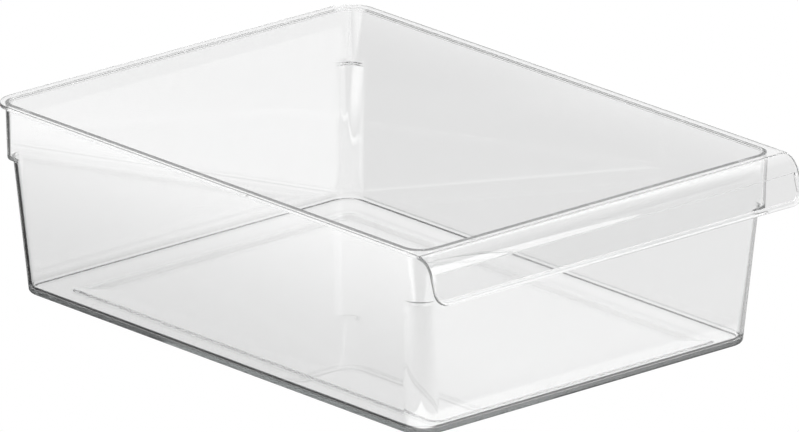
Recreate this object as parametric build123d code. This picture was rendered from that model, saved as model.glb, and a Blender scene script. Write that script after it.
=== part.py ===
"""Open-topped fridge bin in clear plastic, with a full-width curved pull at the front.

The real bin is a single injection moulding. Each node here is one zone of that moulding,
and neighbouring zones meet face to face, so that every wall, post, ledge and rim length
can be handled and collided with by name.

Frame, in millimetres: origin at the base, in the middle of the overall length and width
with the pull counted in. +Z is up, +Y is towards the back of the fridge, and the pull is
at -Y. The shapes are drawn about the middle of the tray and moved into place at the end.
"""
from build123d import *
import os
from math import cos, radians, sin, tan

# Body: sizes over the walls at rim height, which taper inwards on the way down
BODY_WIDTH = 255.0
BODY_LENGTH = 341.0
BODY_HEIGHT = 107.5
WALL = 2.0
SIDE_DRAFT = 4.5
END_DRAFT = 4.1

# Floor: a border that rests on the shelf, and a panel raised inside it on a slanted step
FLOOR_THICKNESS = 2.4
PANEL_RISE = 0.8
PANEL_SLANT = 2.0
PANEL_SIDE_MARGIN = 15.0
PANEL_FRONT_MARGIN = 5.5
PANEL_BACK_MARGIN = 18.0
PANEL_CORNER = 8.0
INNER_FLOOR_FILLET = 3.5
OUTER_FLOOR_FILLET = 1.8

# Corners: a round post up to the stacking ledge, then a cone that opens out to the rim
POST_RADIUS = 13.4
CONE_FOOT_RADIUS = 6.2
CONE_TOP_RADIUS = 11.8
LEDGE_DROP = 30.5
LEDGE_THICKNESS = 2.0

# Rim lip
LIP_OVERHANG = 3.3
LIP_THICKNESS = 2.2
LIP_CORNER = 16.0

# Pull: the lip carried on over the front, bent down and stiffened by a beaded edge
PULL_BEND_RADIUS = 12.0
PULL_BEND_ANGLE = 72.0
PULL_DROP = 25.0
PULL_CORNER = 8.0
PULL_RECESS = 0.7
BEAD_WIDTH = 3.2
BEAD_STANDS_OUT = 0.3

# Heights and half sizes that follow from the values above
LEDGE_TOP = BODY_HEIGHT - LEDGE_DROP
LEDGE_UNDERSIDE = LEDGE_TOP - LEDGE_THICKNESS
LIP_UNDERSIDE = BODY_HEIGHT - LIP_THICKNESS
LIP_HALF_WIDTH = BODY_WIDTH / 2 + LIP_OVERHANG
LIP_HALF_LENGTH = BODY_LENGTH / 2 + LIP_OVERHANG

# The pull's face starts where the bend ends, and its lowest outer edge is the frontmost
TURN = radians(PULL_BEND_ANGLE)
FACE_HEIGHT = (PULL_DROP - PULL_BEND_RADIUS * (1 - cos(TURN))) / sin(TURN)
PULL_REACH = (PULL_BEND_RADIUS + BEAD_STANDS_OUT) * sin(TURN) + FACE_HEIGHT * cos(TURN)

# Cutting tools reach past the body by this much
CLEAR = 50.0

SIDES = {"left": -1, "right": 1}
ENDS = {"front": -1, "back": 1}


def half_width(z):
    """Half the width over the side walls at height z."""
    return BODY_WIDTH / 2 - (BODY_HEIGHT - z) * tan(radians(SIDE_DRAFT))


def half_length(z):
    """Half the length over the end walls at height z."""
    return BODY_LENGTH / 2 - (BODY_HEIGHT - z) * tan(radians(END_DRAFT))


def section(z, corner, inset=0.0):
    """The body's outline at height z, or the cavity's outline when inset by the wall."""
    outline = RectangleRounded(
        2 * (half_width(z) - inset),
        2 * (half_length(z) - inset),
        corner - inset,
    )
    return Pos(0, 0, z) * outline


def tapered(z_low, corner_low, z_high, corner_high, inset=0.0):
    """A solid between two outlines, with straight draft from one to the other."""
    low = section(z_low, corner_low, inset)
    high = section(z_high, corner_high, inset)
    return loft([low, high], ruled=True)


def block(x_low, x_high, y_low, y_high, z_low, z_high):
    """A box between two corners."""
    return Pos(x_low, y_low, z_low) * Box(
        x_high - x_low,
        y_high - y_low,
        z_high - z_low,
        align=(Align.MIN, Align.MIN, Align.MIN),
    )


def foot_edges(solid):
    """The edges round the bottom face of a solid."""
    return solid.edges().group_by(Axis.Z)[0]


# The two outer shapes and the two cavities, below and above the stacking ledge
post_outside = tapered(0, POST_RADIUS, LEDGE_TOP, POST_RADIUS)
post_outside = fillet(foot_edges(post_outside), OUTER_FLOOR_FILLET)
cone_outside = tapered(LEDGE_UNDERSIDE, CONE_FOOT_RADIUS, BODY_HEIGHT, CONE_TOP_RADIUS)
post_cavity = tapered(FLOOR_THICKNESS, POST_RADIUS, LEDGE_TOP, POST_RADIUS, WALL)
post_cavity = fillet(foot_edges(post_cavity), INNER_FLOOR_FILLET)
cone_cavity = tapered(LEDGE_TOP, CONE_FOOT_RADIUS, BODY_HEIGHT, CONE_TOP_RADIUS, WALL)
shell = post_outside + cone_outside - post_cavity - cone_cavity

# Vertical planes that part the corners from the flat walls, at the foot of the posts
CORNER_X = half_width(0) - POST_RADIUS
CORNER_Y = half_length(0) - POST_RADIUS
FAR_X = LIP_HALF_WIDTH + CLEAR
FAR_Y = LIP_HALF_LENGTH + CLEAR

parts = {}


def corner_zone(side, end, z_low, z_high):
    """The block that holds one corner between two heights."""
    x_low, x_high = sorted((side * CORNER_X, side * FAR_X))
    y_low, y_high = sorted((end * CORNER_Y, end * FAR_Y))
    return block(x_low, x_high, y_low, y_high, z_low, z_high)


def side_zone(side, z_low, z_high):
    """The block that holds one side between its corners and two heights."""
    x_low, x_high = sorted((side * CORNER_X, side * FAR_X))
    return block(x_low, x_high, -CORNER_Y, CORNER_Y, z_low, z_high)


def end_zone(end, z_low, z_high):
    """The block that holds one end between its corners and two heights."""
    y_low, y_high = sorted((end * CORNER_Y, end * FAR_Y))
    return block(-CORNER_X, CORNER_X, y_low, y_high, z_low, z_high)


def make_floor():
    """The raised panel, and the four lengths of border round it."""
    inside_width = half_width(FLOOR_THICKNESS) - WALL
    inside_length = half_length(FLOOR_THICKNESS) - WALL
    panel_x = inside_width - PANEL_SIDE_MARGIN
    panel_front = -inside_length + PANEL_FRONT_MARGIN
    panel_back = inside_length - PANEL_BACK_MARGIN
    panel_middle = (panel_front + panel_back) / 2
    panel_length = panel_back - panel_front

    def outline(inset, z):
        shape = RectangleRounded(
            2 * (panel_x - inset), panel_length - 2 * inset, PANEL_CORNER - inset
        )
        return Pos(0, panel_middle, z) * shape

    opening = extrude(outline(0, -CLEAR), 2 * CLEAR)
    plate = extrude(outline(0, PANEL_RISE), FLOOR_THICKNESS - PANEL_RISE)
    panel_top = FLOOR_THICKNESS + PANEL_RISE
    crown = loft([outline(0, FLOOR_THICKNESS), outline(PANEL_SLANT, panel_top)], ruled=True)
    parts["floor_panel"] = plate + crown

    border = shell & block(-FAR_X, FAR_X, -FAR_Y, FAR_Y, 0, FLOOR_THICKNESS)
    border -= opening
    low, high = 0, FLOOR_THICKNESS
    parts["floor_border_front"] = border & block(-FAR_X, FAR_X, -FAR_Y, panel_front, low, high)
    parts["floor_border_back"] = border & block(-FAR_X, FAR_X, panel_back, FAR_Y, low, high)
    for name, side in SIDES.items():
        x_low, x_high = sorted((0, side * FAR_X))
        strip = block(x_low, x_high, panel_front, panel_back, low, high)
        parts[f"floor_border_{name}"] = border & strip


def make_walls():
    """Four flat walls, from the floor border up to the rim."""
    for name, side in SIDES.items():
        parts[f"wall_{name}"] = shell & side_zone(side, FLOOR_THICKNESS, BODY_HEIGHT)
    for name, end in ENDS.items():
        parts[f"wall_{name}"] = shell & end_zone(end, FLOOR_THICKNESS, BODY_HEIGHT)


def make_corners():
    """At each corner a post, the ledge that a stacked bin's foot sits on, and a cone."""
    for end_name, end in ENDS.items():
        for side_name, side in SIDES.items():
            place = f"{end_name}_{side_name}"
            post = corner_zone(side, end, FLOOR_THICKNESS, LEDGE_UNDERSIDE)
            ledge = corner_zone(side, end, LEDGE_UNDERSIDE, LEDGE_TOP)
            cone = corner_zone(side, end, LEDGE_TOP, BODY_HEIGHT)
            parts[f"corner_post_{place}"] = shell & post
            parts[f"stacking_ledge_{place}"] = shell & ledge
            parts[f"corner_cone_{place}"] = shell & cone


def make_rim():
    """The flat lip round the rim: four straight lengths and four corners."""
    back = Pos(0, 0, LIP_UNDERSIDE) * extrude(
        RectangleRounded(2 * LIP_HALF_WIDTH, 2 * LIP_HALF_LENGTH, LIP_CORNER),
        LIP_THICKNESS,
    )
    front = block(
        -LIP_HALF_WIDTH, LIP_HALF_WIDTH, -LIP_HALF_LENGTH, 0, LIP_UNDERSIDE, BODY_HEIGHT
    )
    lip = back + front - cone_outside
    for name, side in SIDES.items():
        parts[f"rim_lip_{name}"] = lip & side_zone(side, LIP_UNDERSIDE, BODY_HEIGHT)
    for name, end in ENDS.items():
        parts[f"rim_lip_{name}"] = lip & end_zone(end, LIP_UNDERSIDE, BODY_HEIGHT)
    for end_name, end in ENDS.items():
        for side_name, side in SIDES.items():
            corner = corner_zone(side, end, LIP_UNDERSIDE, BODY_HEIGHT)
            parts[f"rim_corner_{end_name}_{side_name}"] = lip & corner


def make_pull():
    """The bend over the front, then a leaning face: a thin panel inside a beaded edge."""
    bend_y = -LIP_HALF_LENGTH
    bend_z = BODY_HEIGHT - PULL_BEND_RADIUS
    inner_radius = PULL_BEND_RADIUS - LIP_THICKNESS

    def on_bend(radius, angle):
        return (0, bend_y - radius * sin(angle), bend_z + radius * cos(angle))

    sheet = make_face(
        ThreePointArc(
            on_bend(PULL_BEND_RADIUS, 0),
            on_bend(PULL_BEND_RADIUS, TURN / 2),
            on_bend(PULL_BEND_RADIUS, TURN),
        )
        + Line(on_bend(PULL_BEND_RADIUS, TURN), on_bend(inner_radius, TURN))
        + ThreePointArc(
            on_bend(inner_radius, TURN),
            on_bend(inner_radius, TURN / 2),
            on_bend(inner_radius, 0),
        )
        + Line(on_bend(inner_radius, 0), on_bend(PULL_BEND_RADIUS, 0))
    )
    parts["pull_bend"] = extrude(sheet, LIP_HALF_WIDTH, dir=(1, 0, 0), both=True)

    # The leaning face hangs from the end of the bend, square to the sheet there
    outward = (0, -sin(TURN), cos(TURN))
    face_top = Plane(on_bend(PULL_BEND_RADIUS, TURN), x_dir=(1, 0, 0), z_dir=outward)

    def leaf(half_width_of_leaf, height, corner):
        """A flat shape with a straight top edge and two round lower corners."""
        full = Rectangle(2 * half_width_of_leaf, height, align=(Align.CENTER, Align.MAX))
        low_corners = full.vertices().group_by(Axis.Y)[0]
        return fillet(low_corners, corner)

    whole = leaf(LIP_HALF_WIDTH, FACE_HEIGHT, PULL_CORNER)
    middle = leaf(
        LIP_HALF_WIDTH - BEAD_WIDTH, FACE_HEIGHT - BEAD_WIDTH, PULL_CORNER - BEAD_WIDTH
    )
    panel = Pos(0, 0, -LIP_THICKNESS) * extrude(middle, LIP_THICKNESS - PULL_RECESS)
    parts["pull_panel"] = face_top * panel
    bead = Pos(0, 0, -LIP_THICKNESS - BEAD_STANDS_OUT) * extrude(
        whole - middle, LIP_THICKNESS + 2 * BEAD_STANDS_OUT
    )
    cheek_x = LIP_HALF_WIDTH - PULL_CORNER
    grip = block(-cheek_x, cheek_x, -CLEAR, 0, -CLEAR, CLEAR)
    parts["pull_bottom_bead"] = face_top * (bead & grip)
    for name, side in SIDES.items():
        x_low, x_high = sorted((side * cheek_x, side * FAR_X))
        cheek = block(x_low, x_high, -CLEAR, 0, -CLEAR, CLEAR)
        parts[f"pull_side_bead_{name}"] = face_top * (bead & cheek)


make_floor()
make_walls()
make_corners()
make_rim()
make_pull()

to_middle = Pos(0, PULL_REACH / 2, 0)
os.makedirs("parts", exist_ok=True)
for name, part in parts.items():
    export_step(to_middle * part, f"parts/{name}.step")
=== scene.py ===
"""A clear plastic fridge bin on a pale studio floor.

The bin is one injection moulding, so it is one closed skin here: the tray's two sides are
rings stacked from the middle of the floor outwards, and the rim lip and the pull are one
sheet that is laid out flat, thickened, and bent over the front. Lengths are millimetres
about the middle of the tray until the skin is made, then metres about the middle of the
overall length, as in the solids.
"""

import bmesh
import bpy
import numpy as np
from mathutils import Matrix, Vector


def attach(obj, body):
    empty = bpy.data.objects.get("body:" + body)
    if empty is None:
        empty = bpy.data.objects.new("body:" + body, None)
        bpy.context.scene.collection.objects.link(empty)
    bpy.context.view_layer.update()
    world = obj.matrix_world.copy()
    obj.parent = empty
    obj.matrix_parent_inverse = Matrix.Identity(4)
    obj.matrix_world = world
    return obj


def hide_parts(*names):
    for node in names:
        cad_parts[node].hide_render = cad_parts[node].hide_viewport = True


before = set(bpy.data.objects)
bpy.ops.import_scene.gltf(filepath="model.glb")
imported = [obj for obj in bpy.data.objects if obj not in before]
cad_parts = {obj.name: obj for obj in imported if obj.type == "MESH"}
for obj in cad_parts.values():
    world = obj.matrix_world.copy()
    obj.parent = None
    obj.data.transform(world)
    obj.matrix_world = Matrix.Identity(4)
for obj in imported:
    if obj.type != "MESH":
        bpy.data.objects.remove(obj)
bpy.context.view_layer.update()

# ---------------------------------------------------------------------------
# Tray: floor, four tapered walls and four corner posts, moulded in clear
# styrene-like plastic. The posts step out to a stacking ledge, and a cone
# opens out above it to the rim.
# ---------------------------------------------------------------------------
BODY_WIDTH = 255.0
BODY_LENGTH = 341.0
BODY_HEIGHT = 107.5
WALL = 2.0
SIDE_SLOPE = np.tan(np.radians(4.5))
END_SLOPE = np.tan(np.radians(4.1))
POST_RADIUS = 13.4
CONE_FOOT_RADIUS = 6.2
CONE_TOP_RADIUS = 11.8
LEDGE_TOP = 77.0
FLOOR = 2.4
INSIDE_FILLET = 3.5
OUTSIDE_FILLET = 1.8

# The raised panel: its margins, its step up inside and the dish below it.
PANEL_SIDE_MARGIN = 15.0
PANEL_FRONT_MARGIN = 5.5
PANEL_BACK_MARGIN = 18.0
PANEL_CORNER = 8.0
PANEL_CORNER_LEAST = 0.6
STEP = 0.6
STEP_RUN = 3.4
STEP_CAP = 4.0
DISH = 0.5
DISH_START = -2.0
DISH_RUN = 24.0
DISH_CAP = 22.6

# Steps in a corner's arc, steps along a side, and how far a corner's points reach.
ARC = 24
ALONG = 8
ZONE = 18.0


def smooth_ramp(t, ease=0.18):
    """0 to 1 as t goes 0 to 1: a straight slope eased at both ends by a parabola."""
    t = np.clip(t, 0, 1)
    low = t * t / (2 * ease * (1 - ease))
    high = 1 - (1 - t) ** 2 / (2 * ease * (1 - ease))
    return np.where(t < ease, low, np.where(t > 1 - ease, high, (t - ease / 2) / (1 - ease)))


def corner_arc(radius, start):
    """Quarter circle round the origin: radius times (cos, sin) of start to start plus 90."""
    angle = np.radians(start + np.linspace(0, 90, ARC + 1))
    return radius * np.stack([np.cos(angle), np.sin(angle)], 1)


def loop(half_x, front, back, radius):
    """A rounded rectangle as points that run anticlockwise from the front left corner.

    Each corner is a straight lead-in, a quarter circle and a straight lead-out, and each
    side is a fixed number of equal lengths, so that any two loops match point for point.
    """
    corners = [(-1, -1), (1, -1), (1, 1), (-1, 1)]
    runs = []
    for turn, (sx, sy) in enumerate(corners):
        x, y = sx * half_x, back if sy > 0 else front
        centre = np.array([x - sx * radius, y - sy * radius])
        arc = centre + corner_arc(radius, 180 + 90 * turn)
        on_side, on_end = (x, y - sy * ZONE), (x - sx * ZONE, y)
        lead = [on_side, on_end] if sx == sy else [on_end, on_side]
        runs.append(np.vstack([lead[0], arc, lead[1]]))
    points = []
    for turn in range(4):
        here, there = runs[turn][-1], runs[(turn + 1) % 4][0]
        share = np.linspace(0, 1, ALONG + 1)[1:-1, None]
        points += [runs[turn], here + share * (there - here)]
    return np.vstack(points)


def at_height(flat, z):
    """The flat loop lifted to height z."""
    return np.column_stack([flat, np.full(len(flat), float(z))])


def wall_loop(z, radius, inset=0.0):
    """The wall's outline at height z: each half size shrinks with depth by its draft."""
    down = BODY_HEIGHT - z
    half_x = BODY_WIDTH / 2 - down * SIDE_SLOPE - inset
    half_y = BODY_LENGTH / 2 - down * END_SLOPE - inset
    return at_height(loop(half_x, -half_y, half_y, radius), z)


def cone_radius(z):
    """Corner radius above the ledge, growing evenly from foot to rim."""
    share = (z - LEDGE_TOP) / (BODY_HEIGHT - LEDGE_TOP)
    return CONE_FOOT_RADIUS + share * (CONE_TOP_RADIUS - CONE_FOOT_RADIUS)


def fillet_loops(base, radius, corner, inset, rising):
    """Loops round a quarter-round between floor level base and the wall above it."""
    made = []
    for angle in np.radians(np.linspace(0, 90, 9)):
        back_off = radius * (1 - np.sin(angle))
        z = base + radius * (1 - np.cos(angle))
        made.append(wall_loop(z, corner - inset - back_off, inset + back_off))
    return made if rising else made[::-1]


INSIDE_X = BODY_WIDTH / 2 - (BODY_HEIGHT - FLOOR) * SIDE_SLOPE - WALL
INSIDE_Y = BODY_LENGTH / 2 - (BODY_HEIGHT - FLOOR) * END_SLOPE - WALL
PANEL_X = INSIDE_X - PANEL_SIDE_MARGIN
PANEL_FRONT = -INSIDE_Y + PANEL_FRONT_MARGIN
PANEL_BACK = INSIDE_Y - PANEL_BACK_MARGIN


def panel_loop(inset, z):
    """The raised panel's outline, moved inwards by inset."""
    corner = max(PANEL_CORNER - inset, PANEL_CORNER_LEAST)
    flat = loop(PANEL_X - inset, PANEL_FRONT + inset, PANEL_BACK - inset, corner)
    return at_height(flat, z)


def panel_cap(z, inset):
    """Loops that close a flat panel, each its edge drawn in by a share to its middle."""
    edge = panel_loop(inset, z)
    middle = edge.mean(0)
    return [middle + (edge - middle) * s for s in (0.0, 0.05, 0.35, 0.7)]


# The pairs are a height and the corner's radius there, on the outside of the wall below
# and on its inside above, as each ledge turns out of the post and into the cone.
inside_turn = [(76.3, 11.4), (76.6, 11.2), (76.82, 10.8), (76.95, 10.2), (77.0, 9.5)]
inside_turn += [(77.04, 6.0), (77.09, 5.2), (77.2, 4.7), (77.45, 4.35)]
outside_turn = [(75.5, 6.2), (75.25, 6.5), (75.1, 7.0), (75.03, 7.8)]
outside_turn += [(74.97, 11.8), (74.9, 12.5), (74.75, 13.0), (74.4, 13.4)]

inside = panel_cap(FLOOR + STEP, STEP_CAP)
for share in np.linspace(0, 1, 11):
    z = FLOOR + STEP * (1 - smooth_ramp(share, 0.5))
    inside.append(panel_loop(STEP_RUN * (1 - share), z))
inside += fillet_loops(FLOOR, INSIDE_FILLET, POST_RADIUS, WALL, True)
inside += [wall_loop(z, POST_RADIUS - WALL, WALL) for z in (8, 20, 40, 60, 74)]
inside += [wall_loop(z, radius, WALL) for z, radius in inside_turn]
inside += [wall_loop(z, cone_radius(z) - WALL, WALL) for z in (78, 84, 91, 98, 104)]

outside = [wall_loop(z, cone_radius(z)) for z in (104, 98, 91, 84, 79, 76)]
outside += [wall_loop(z, radius) for z, radius in outside_turn]
outside += [wall_loop(z, POST_RADIUS) for z in (72, 60, 40, 20, 6)]
outside += fillet_loops(0.0, OUTSIDE_FILLET, POST_RADIUS, 0.0, False)
for share in np.linspace(0, 1, 9):
    outside.append(panel_loop(DISH_START + DISH_RUN * share, DISH * smooth_ramp(share, 0.5)))
outside += panel_cap(DISH, DISH_CAP)[::-1]

# ---------------------------------------------------------------------------
# Rim lip and pull: one sheet of the same plastic. It is flat round the rim,
# rolls over at the front, and hangs as a leaning face whose middle is a
# slightly sunk panel inside a thicker beaded edge.
# ---------------------------------------------------------------------------
LIP = 2.2
LIP_REACH = 3.3
LIP_X = BODY_WIDTH / 2 + LIP_REACH
LIP_Y = BODY_LENGTH / 2 + LIP_REACH
LIP_CORNER = 16.0
EDGE = 0.4
BEND = 12.0
BEND_TURN = np.radians(72.0)
BEND_LENGTH = BEND * BEND_TURN
PULL_DROP = 25.0
PULL_CORNER = 8.0
FACE = (PULL_DROP - BEND * (1 - np.cos(BEND_TURN))) / np.sin(BEND_TURN)
FACE_START = LIP_Y + BEND_LENGTH
FACE_END = FACE_START + FACE
SINK = 0.7
BEAD = 3.2
BEAD_STANDS_OUT = 0.3
BEAD_STEPS = ARC // 2
BEAD_GROWS_OVER = 3.0
STEP_WIDTH = 0.45
CLOSE_ROWS = 0.9


def fold(x, w, h):
    """Bends the flat sheet into place.

    w is the distance along the sheet from the middle of the tray towards the front, and h
    the height off its upper side. Up to the lip's edge the sheet is level, then it follows
    a circle, then a straight line that carries on the circle's direction.
    """
    x, w, h = np.broadcast_arrays(*(np.asarray(v, float) for v in (x, w, h)))
    turn = np.clip((w - LIP_Y) / BEND, 0, BEND_TURN)
    before = np.minimum(w, LIP_Y)
    after = np.maximum(w - FACE_START, 0)
    y = -before - (BEND + h) * np.sin(turn) - after * np.cos(turn)
    z = BODY_HEIGHT - BEND + (BEND + h) * np.cos(turn) - after * np.sin(turn)
    return np.stack([x, y, z], -1)


bead_across = np.concatenate(
    [np.linspace(0, CLOSE_ROWS, 9), np.linspace(CLOSE_ROWS, BEAD - EDGE, 5)[1:]]
)
from_corner = BEAD - EDGE - bead_across

# The lip's outline, with its two front corners squared: each has the bead's columns on
# the end and the same distances along the side.
x_edge = LIP_X - EDGE
lip_flat = loop(x_edge, -LIP_Y, LIP_Y - EDGE, LIP_CORNER - EDGE)
left, right = 1, ARC + ALONG + 3
along_end = np.full(BEAD_STEPS + 1, -LIP_Y)
along_side = np.full(BEAD_STEPS + 1, x_edge)
for start, first, second in (
    (left, (-along_side, from_corner - LIP_Y), (from_corner[::-1] - x_edge, along_end)),
    (right, (x_edge - from_corner, along_end), (along_side, from_corner[::-1] - LIP_Y)),
):
    middle = start + BEAD_STEPS
    lip_flat[start : middle + 1] = np.stack(first, 1)
    lip_flat[middle : start + ARC + 1] = np.stack(second, 1)
columns = lip_flat[left + BEAD_STEPS : right + BEAD_STEPS + 1, 0]
panel_columns = columns[BEAD_STEPS:-BEAD_STEPS]

bend_rows = LIP_Y + np.linspace(0, BEND_LENGTH, 25)
inner_round = PULL_CORNER - BEAD
round_start = FACE_END - BEAD - inner_round
round_angle = np.radians(np.linspace(0, 90, 11))
face_rows = np.concatenate(
    [
        FACE_START + np.linspace(0, CLOSE_ROWS, 9),
        np.linspace(FACE_START + CLOSE_ROWS, round_start, 6)[1:],
        round_start + inner_round * np.sin(round_angle)[1:],
    ]
)
half_at_row = LIP_X - BEAD - inner_round * (
    1 - np.sqrt(np.clip(1 - (np.maximum(face_rows - round_start, 0) / inner_round) ** 2, 0, 1))
)


def sunk(w):
    """How far the panel's surface is from the sheet's, easing in below the bend."""
    return -SINK * smooth_ramp((w - FACE_START) / STEP_WIDTH, 0.3)


def proud(w):
    """How far the bead stands out, growing over the first few millimetres of the face."""
    return BEAD_STANDS_OUT * smooth_ramp((w - FACE_START) / BEAD_GROWS_OVER, 0.5)


def sheet_side(top):
    """The bend, the panel and the bead of one side of the pull, as grids of points.

    The bead's columns leave the panel's edge along its own outward direction. Their
    height steps up from the panel, and a parabola across the bead crowns it.
    """
    base = 0.0 if top else -LIP
    sign = 1.0 if top else -1.0
    bend = fold(columns[None, :], bend_rows[:, None], base)
    panel_x = panel_columns[None, :] * (half_at_row / (LIP_X - BEAD))[:, None]
    depth = sunk(face_rows) if top else np.zeros(len(face_rows))
    panel = fold(panel_x, face_rows[:, None], base + depth[:, None])
    path_x = np.concatenate([panel_x[:, 0], panel_x[-1, 1:-1], panel_x[::-1, -1]])
    path_w = np.concatenate(
        [face_rows, np.full(panel_x.shape[1] - 2, face_rows[-1]), face_rows[::-1]]
    )
    lean = np.arcsin(np.clip((path_w - round_start) / inner_round, 0, 1))
    out_x = np.cos(lean) * np.sign(path_x)
    out_w = np.sin(lean)
    ramp = smooth_ramp(bead_across / STEP_WIDTH, 0.3)
    inner = sunk(path_w) if top else np.zeros(len(path_w))
    share = bead_across / (BEAD - EDGE)
    crown = 0.15 + 0.85 * 4 * share * (1 - share)
    out = sign * proud(path_w)[:, None] * crown[None, :]
    height = inner[:, None] + (out - inner[:, None]) * ramp[None, :]
    bead_x = path_x[:, None] + out_x[:, None] * bead_across[None, :]
    bead_w = path_w[:, None] + out_w[:, None] * bead_across[None, :]
    rim = (bead_x[:, -1], bead_w[:, -1], base + height[:, -1], out_x, out_w)
    return [bend, panel, fold(bead_x, bead_w, base + height)], rim


def sheet_edge():
    """The rounded edge all round the sheet, from its upper side to its underside.

    Each point of the outline moves out by the edge radius times the sine of an angle and
    in from each side by the radius times one minus the cosine.
    """
    top_rim, low_rim = sheet_side(True)[1], sheet_side(False)[1]
    around = np.roll(lip_flat, -(right + BEAD_STEPS), 0)[: len(lip_flat) - (right - left) + 1]
    past = np.maximum(around[:, 1] - (LIP_Y - LIP_CORNER), 0)
    inside_x = np.sign(around[:, 0]) * (LIP_X - LIP_CORNER)
    reach = np.where(past > 0, around[:, 0] - inside_x, np.sign(around[:, 0]))
    on_back = (past > 0) & (np.abs(around[:, 0]) < LIP_X - LIP_CORNER)
    reach = np.where(on_back, 0.0, reach)
    length = np.hypot(reach, past)
    lip_out_x, lip_out_w = reach / length, -past / length
    count = len(around)
    down, up = bend_rows[1:-1], bend_rows[-2:0:-1]
    ends = np.ones(len(down))
    x = np.concatenate([around[:, 0], -x_edge * ends, top_rim[0], x_edge * ends])
    w = np.concatenate([-around[:, 1], down, top_rim[1], up])
    out_x = np.concatenate([lip_out_x, -ends, top_rim[3], ends])
    out_w = np.concatenate([lip_out_w, 0 * ends, top_rim[4], 0 * ends])
    high = np.concatenate([np.zeros(count), 0 * ends, top_rim[2], 0 * ends])
    low = np.concatenate([np.full(count, -LIP), -LIP * ends, low_rim[2], -LIP * ends])
    angle = np.radians(np.linspace(0, 90, 9))[:, None]
    push, drop = EDGE * np.sin(angle), EDGE * (1 - np.cos(angle))
    upper = fold(x + out_x * push, w + out_w * push, high - drop)
    lower = fold(x + out_x * push, w + out_w * push, low + drop)
    return np.vstack([upper, lower[::-1]])


# Small rounds join the wall to the lip: over the rim inside, and under the lip outside.
RIM_ROUND = 0.35
JOIN_ROUND = 0.5
for angle in np.radians(np.linspace(0, 90, 7)):
    z = BODY_HEIGHT - RIM_ROUND * (1 - np.sin(angle))
    shift = RIM_ROUND * (1 - np.cos(angle))
    inside.append(wall_loop(z, CONE_TOP_RADIUS - WALL + shift, WALL - shift))
inside.append(at_height(lip_flat, BODY_HEIGHT))

under_lip = [at_height(lip_flat, BODY_HEIGHT - LIP)]
for angle in np.radians(np.linspace(90, 0, 6)):
    z = BODY_HEIGHT - LIP - JOIN_ROUND * (1 - np.sin(angle))
    shift = JOIN_ROUND * (1 - np.cos(angle))
    under_lip.append(wall_loop(z, CONE_TOP_RADIUS + shift, -shift))
outside = under_lip + outside

# ---------------------------------------------------------------------------
# The skin: every grid above is put in one mesh, welded where the grids share
# points, turned to face outwards and moved to the middle of the overall length.
# ---------------------------------------------------------------------------
WELD_DISTANCE = 0.002
SLIVER = 0.0001


def add_grid(points, closed, store):
    """Joins a grid of points into quads; a closed grid joins its last column to its first."""
    rows, cols = points.shape[:2]
    number = np.arange(rows * cols).reshape(rows, cols) + store["count"]
    if closed:
        number = np.hstack([number, number[:, :1]])
    quads = np.stack([number[:-1, :-1], number[:-1, 1:], number[1:, 1:], number[1:, :-1]], -1)
    store["points"].append(points.reshape(-1, 3))
    store["quads"].append(quads.reshape(-1, 4))
    store["count"] += rows * cols


store = {"points": [], "quads": [], "count": 0}
add_grid(np.array(inside), True, store)
add_grid(np.array(outside), True, store)
for side in (True, False):
    for grid in sheet_side(side)[0]:
        add_grid(grid, False, store)
add_grid(sheet_edge(), True, store)

points = np.vstack(store["points"])
quads = np.vstack(store["quads"])
pull_reach = (BEND + BEAD_STANDS_OUT) * np.sin(BEND_TURN) + FACE * np.cos(BEND_TURN)
points[:, 1] += pull_reach / 2
skin = bpy.data.meshes.new("bin_moulding")
skin.from_pydata((points / 1000).tolist(), [], quads.tolist())

work = bmesh.new()
work.from_mesh(skin)
bmesh.ops.remove_doubles(work, verts=work.verts, dist=WELD_DISTANCE / 1000)
bmesh.ops.dissolve_degenerate(work, edges=work.edges, dist=SLIVER / 1000)
bmesh.ops.recalc_face_normals(work, faces=work.faces)
work.to_mesh(skin)
work.free()


def broad_normals(mesh):
    """Each point's normal is the sum of its faces' normals times their areas squared.

    Broad flat faces then shade flat, and the narrow roundings between them carry the turn.
    """
    face_normal = np.zeros(len(mesh.polygons) * 3)
    face_area = np.zeros(len(mesh.polygons))
    corners = np.zeros(len(mesh.polygons), int)
    point_of = np.zeros(len(mesh.loops), int)
    mesh.polygons.foreach_get("normal", face_normal)
    mesh.polygons.foreach_get("area", face_area)
    mesh.polygons.foreach_get("loop_total", corners)
    mesh.loops.foreach_get("vertex_index", point_of)
    face_of = np.repeat(np.arange(len(corners)), corners)
    weight = face_normal.reshape(-1, 3) * (face_area**2)[:, None]
    total = np.zeros((len(mesh.vertices), 3))
    np.add.at(total, point_of, weight[face_of])
    length = np.linalg.norm(total, axis=1)[:, None]
    return total / np.where(length > 0, length, 1)


for polygon in skin.polygons:
    polygon.use_smooth = True
skin.normals_split_custom_set_from_vertices(broad_normals(skin).tolist())
bin_moulding = bpy.data.objects.new("bin_moulding", skin)
bpy.context.scene.collection.objects.link(bin_moulding)
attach(bin_moulding, "root")
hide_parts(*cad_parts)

# Clear glossy plastic with a faint blue-green tint in its depth. Shadow rays go straight
# through it, so that it casts only a light shadow.
clear = bpy.data.materials.new("clear_plastic")
clear.use_nodes = True
nodes, links = clear.node_tree.nodes, clear.node_tree.links
shader = nodes["Principled BSDF"]
shader.inputs["Base Color"].default_value = (1.0, 1.0, 1.0, 1)
shader.inputs["Roughness"].default_value = 0.01
shader.inputs["IOR"].default_value = 1.57
shader.inputs["Transmission Weight"].default_value = 0.97
tint = nodes.new("ShaderNodeVolumeAbsorption")
tint.inputs["Color"].default_value = (0.2, 0.26, 0.255, 1)
tint.inputs["Density"].default_value = 4.0
links.new(tint.outputs["Volume"], nodes["Material Output"].inputs["Volume"])
through = nodes.new("ShaderNodeBsdfTransparent")
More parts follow.
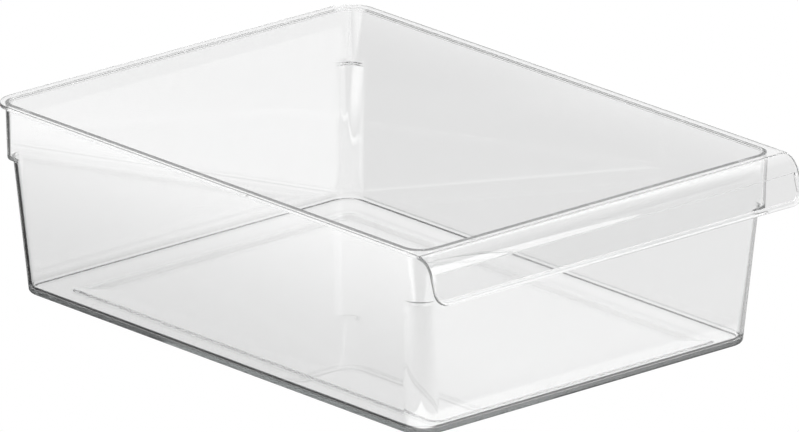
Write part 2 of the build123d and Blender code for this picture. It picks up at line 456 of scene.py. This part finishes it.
through.inputs["Color"].default_value = (0.85, 0.86, 0.86, 1)
path = nodes.new("ShaderNodeLightPath")
choose = nodes.new("ShaderNodeMixShader")
links.new(path.outputs["Is Shadow Ray"], choose.inputs[0])
links.new(shader.outputs["BSDF"], choose.inputs[1])
links.new(through.outputs["BSDF"], choose.inputs[2])
links.new(choose.outputs["Shader"], nodes["Material Output"].inputs["Surface"])
skin.materials.append(clear)

# ---------------------------------------------------------------------------
# Studio floor: an even white sheet that runs to the horizon. Only the camera
# sees it, so it lights nothing and isn't reflected in the bin.
# ---------------------------------------------------------------------------
FLOOR_REACH = 60.0
FLOOR_LEVEL = -0.0005


def stage_sheet(name, outline, level, material_name):
    """One flat face at a level in metres, with an empty material to build on."""
    mesh = bpy.data.meshes.new(name)
    mesh.from_pydata([(x, y, level) for x, y in outline], [], [tuple(range(len(outline)))])
    sheet = bpy.data.objects.new(name, mesh)
    bpy.context.scene.collection.objects.link(sheet)
    made = bpy.data.materials.new(material_name)
    made.use_nodes = True
    made.node_tree.nodes.remove(made.node_tree.nodes["Principled BSDF"])
    mesh.materials.append(made)
    return sheet, made.node_tree.nodes, made.node_tree.links


corners = [(sx * FLOOR_REACH, sy * FLOOR_REACH) for sx, sy in ((-1, -1), (1, -1), (1, 1), (-1, 1))]
floor, nodes, links = stage_sheet("floor", corners, FLOOR_LEVEL, "pale_floor")
glow = nodes.new("ShaderNodeEmission")
glow.inputs["Strength"].default_value = 1.0
links.new(glow.outputs["Emission"], nodes["Material Output"].inputs["Surface"])
floor.visible_glossy = floor.visible_transmission = floor.visible_diffuse = False

# ---------------------------------------------------------------------------
# Surround: white to the camera and light grey through the plastic. A ray that
# the bin has reflected finds a tone set by its direction: a table round the
# bin, a wall behind it and a light box overhead.
# ---------------------------------------------------------------------------
SEEN_THROUGH = 0.86

world = bpy.data.worlds.new("studio")
bpy.context.scene.world = world
world.use_nodes = True
nodes, links = world.node_tree.nodes, world.node_tree.links
background = nodes["Background"]
where = nodes.new("ShaderNodeTexCoord")


def lit_share(toward, low, high):
    """0 to 1 as the direction's share along toward goes from low to high."""
    along = nodes.new("ShaderNodeVectorMath")
    along.operation = "DOT_PRODUCT"
    along.inputs[1].default_value = toward
    links.new(where.outputs["Generated"], along.inputs[0])
    share = nodes.new("ShaderNodeMapRange")
    share.interpolation_type = "SMOOTHSTEP"
    share.inputs["From Min"].default_value = low
    share.inputs["From Max"].default_value = high
    links.new(along.outputs["Value"], share.inputs["Value"])
    return share.outputs["Result"]


def blend(share, low, high):
    """Goes from one tone, or one socket, to another by a share."""
    made = nodes.new("ShaderNodeMix")
    made.data_type = "FLOAT"
    links.new(share, made.inputs[0])
    for socket, tone in ((made.inputs[2], low), (made.inputs[3], high)):
        if isinstance(tone, (int, float)):
            socket.default_value = tone
        else:
            links.new(tone, socket)
    return made.outputs[0]


def reflected():
    """0 for a ray that nothing has reflected, else 1: the reflections so far, capped at 1."""
    path = nodes.new("ShaderNodeLightPath")
    once = nodes.new("ShaderNodeMath")
    once.operation = "MINIMUM"
    once.inputs[1].default_value = 1.0
    links.new(path.outputs["Glossy Depth"], once.inputs[0])
    return once.outputs[0]


table = blend(lit_share((-0.5, -0.866, 0), -0.33, 0.33), 0.0, 1.6)
table = blend(lit_share((0.9, 0.436, 0), 0.6, 0.9), table, 0.6)
table = blend(lit_share((-0.664, -0.748, 0), 0.6, 0.92), table, 2.2)
back_wall = blend(lit_share((0.664, 0.748, 0), 0.3, 0.8), 0.15, 1.0)
low_half = blend(lit_share((0, 0, 1), -0.03, 0.05), table, back_wall)
top_box = blend(lit_share((0, 0, 1), 0.7, 0.85), low_half, 1.2)
path = nodes.new("ShaderNodeLightPath")
behind = blend(path.outputs["Is Camera Ray"], SEEN_THROUGH, 1.0)
links.new(blend(reflected(), behind, top_box), background.inputs["Color"])

# ---------------------------------------------------------------------------
# Table card: a glowing L-shaped card on the floor, to the left of the bin and
# in front of it. Only rays that the bin has reflected see it. Its glow is painted
# light and shade of a table: dim close to the bin, a painted shadow of the bin,
# and brighter farther off, a painted pool of light.
# ---------------------------------------------------------------------------
CARD_LEVEL = 0.0002

outline = [(-1.2, -0.9), (1.2, -0.9), (1.2, -0.175), (-0.14, -0.175), (-0.14, 1.4), (-1.2, 1.4)]
table_glow_card, nodes, links = stage_sheet("table_glow_card", outline, CARD_LEVEL, "painted_table_glow")
glow = nodes.new("ShaderNodeEmission")
spot = nodes.new("ShaderNodeTexCoord")
across = nodes.new("ShaderNodeSeparateXYZ")
links.new(spot.outputs["Object"], across.inputs[0])


def eased(axis, near, far, low, high):
    """Goes smoothly from one tone to another between two places along an axis."""
    tone = nodes.new("ShaderNodeMapRange")
    tone.interpolation_type = "SMOOTHSTEP"
    tone.inputs["From Min"].default_value = near
    tone.inputs["From Max"].default_value = far
    tone.inputs["To Min"].default_value = low
    tone.inputs["To Max"].default_value = high
    links.new(across.outputs[axis], tone.inputs["Value"])
    return tone.outputs["Result"]


def joined(operation, first, second):
    """The sum or the product of two tones."""
    made = nodes.new("ShaderNodeMath")
    made.operation = operation
    links.new(first, made.inputs[0])
    links.new(second, made.inputs[1])
    return made.outputs[0]


# Painted shadow and light: the card's glow is dim next to the bin and grows brighter away from it,
# on the left arm and on the front arm.
left_arm_painted_glow = joined("MULTIPLY", eased("X", -0.14, -0.36, 0.1, 2.3), eased("Y", -0.25, -0.1, 0, 1))
front_arm_painted_glow = joined("MULTIPLY", eased("X", -0.16, -0.02, 0, 1.15), eased("Y", -0.1, -0.2, 0, 1))
front_arm_painted_glow = joined("MULTIPLY", front_arm_painted_glow, eased("Y", -0.36, -0.55, 1, 2.6))
links.new(joined("ADD", left_arm_painted_glow, front_arm_painted_glow), glow.inputs["Strength"])
clear_way = nodes.new("ShaderNodeBsdfTransparent")
choose = nodes.new("ShaderNodeMixShader")
links.new(reflected(), choose.inputs[0])
links.new(clear_way.outputs["BSDF"], choose.inputs[1])
links.new(glow.outputs["Emission"], choose.inputs[2])
links.new(choose.outputs["Shader"], nodes["Material Output"].inputs["Surface"])

# ---------------------------------------------------------------------------
# Key light: one broad softbox in front of the bin and above it, turned to it.
# ---------------------------------------------------------------------------
KEY_SIZE = 1.2
KEY_POWER = 8.0
KEY_DISTANCE = 1.6
KEY_AIM_HEIGHT = 0.05

softbox = bpy.data.lights.new("key", "AREA")
softbox.size = KEY_SIZE
softbox.energy = KEY_POWER
key = bpy.data.objects.new("key", softbox)
way = Vector((0.25, -0.8, 0.55)).normalized()
key.location = way * KEY_DISTANCE + Vector((0, 0, KEY_AIM_HEIGHT))
key.rotation_mode = "QUATERNION"
key.rotation_quaternion = way.to_track_quat("Z", "Y")
bpy.context.scene.collection.objects.link(key)

# ---------------------------------------------------------------------------
# Camera: far off with a long lens, a little above the rim, looking at the
# front left corner.
# ---------------------------------------------------------------------------
AZIMUTH, ELEVATION = np.radians(-41.589), np.radians(18.639)
AIM_RIGHT = 8.0
AIM_UP = 53.52
LENS = 925
SENSOR = 36
VIEW_WIDTH = 0.42877

right_way = np.array([np.cos(AZIMUTH), np.sin(AZIMUTH), 0])
level_back = np.array([np.sin(AZIMUTH), -np.cos(AZIMUTH), 0])
back_way = level_back * np.cos(ELEVATION) + np.array([0, 0, np.sin(ELEVATION)])
up_way = np.cross(back_way, right_way)
aim = (AIM_RIGHT * right_way + AIM_UP * up_way) / 1000 + np.array([0, pull_reach / 2000, 0])
camera_data = bpy.data.cameras.new("camera")
camera_data.lens = LENS
camera_data.sensor_width = SENSOR
camera_data.clip_start, camera_data.clip_end = 1.0, 100.0
camera = bpy.data.objects.new("camera", camera_data)
place = Matrix(np.column_stack([right_way, up_way, back_way]).tolist()).to_4x4()
place.translation = Vector(aim + back_way * (VIEW_WIDTH * LENS / SENSOR))
camera.matrix_world = place
bpy.context.scene.collection.objects.link(camera)
bpy.context.scene.camera = camera

# Light has to pass many faces of clear plastic before it gets out of the rim and the foot.
scene = bpy.context.scene
scene.view_settings.view_transform = "Standard"
scene.cycles.max_bounces = 48
scene.cycles.transmission_bounces = 32
scene.cycles.glossy_bounces = 32
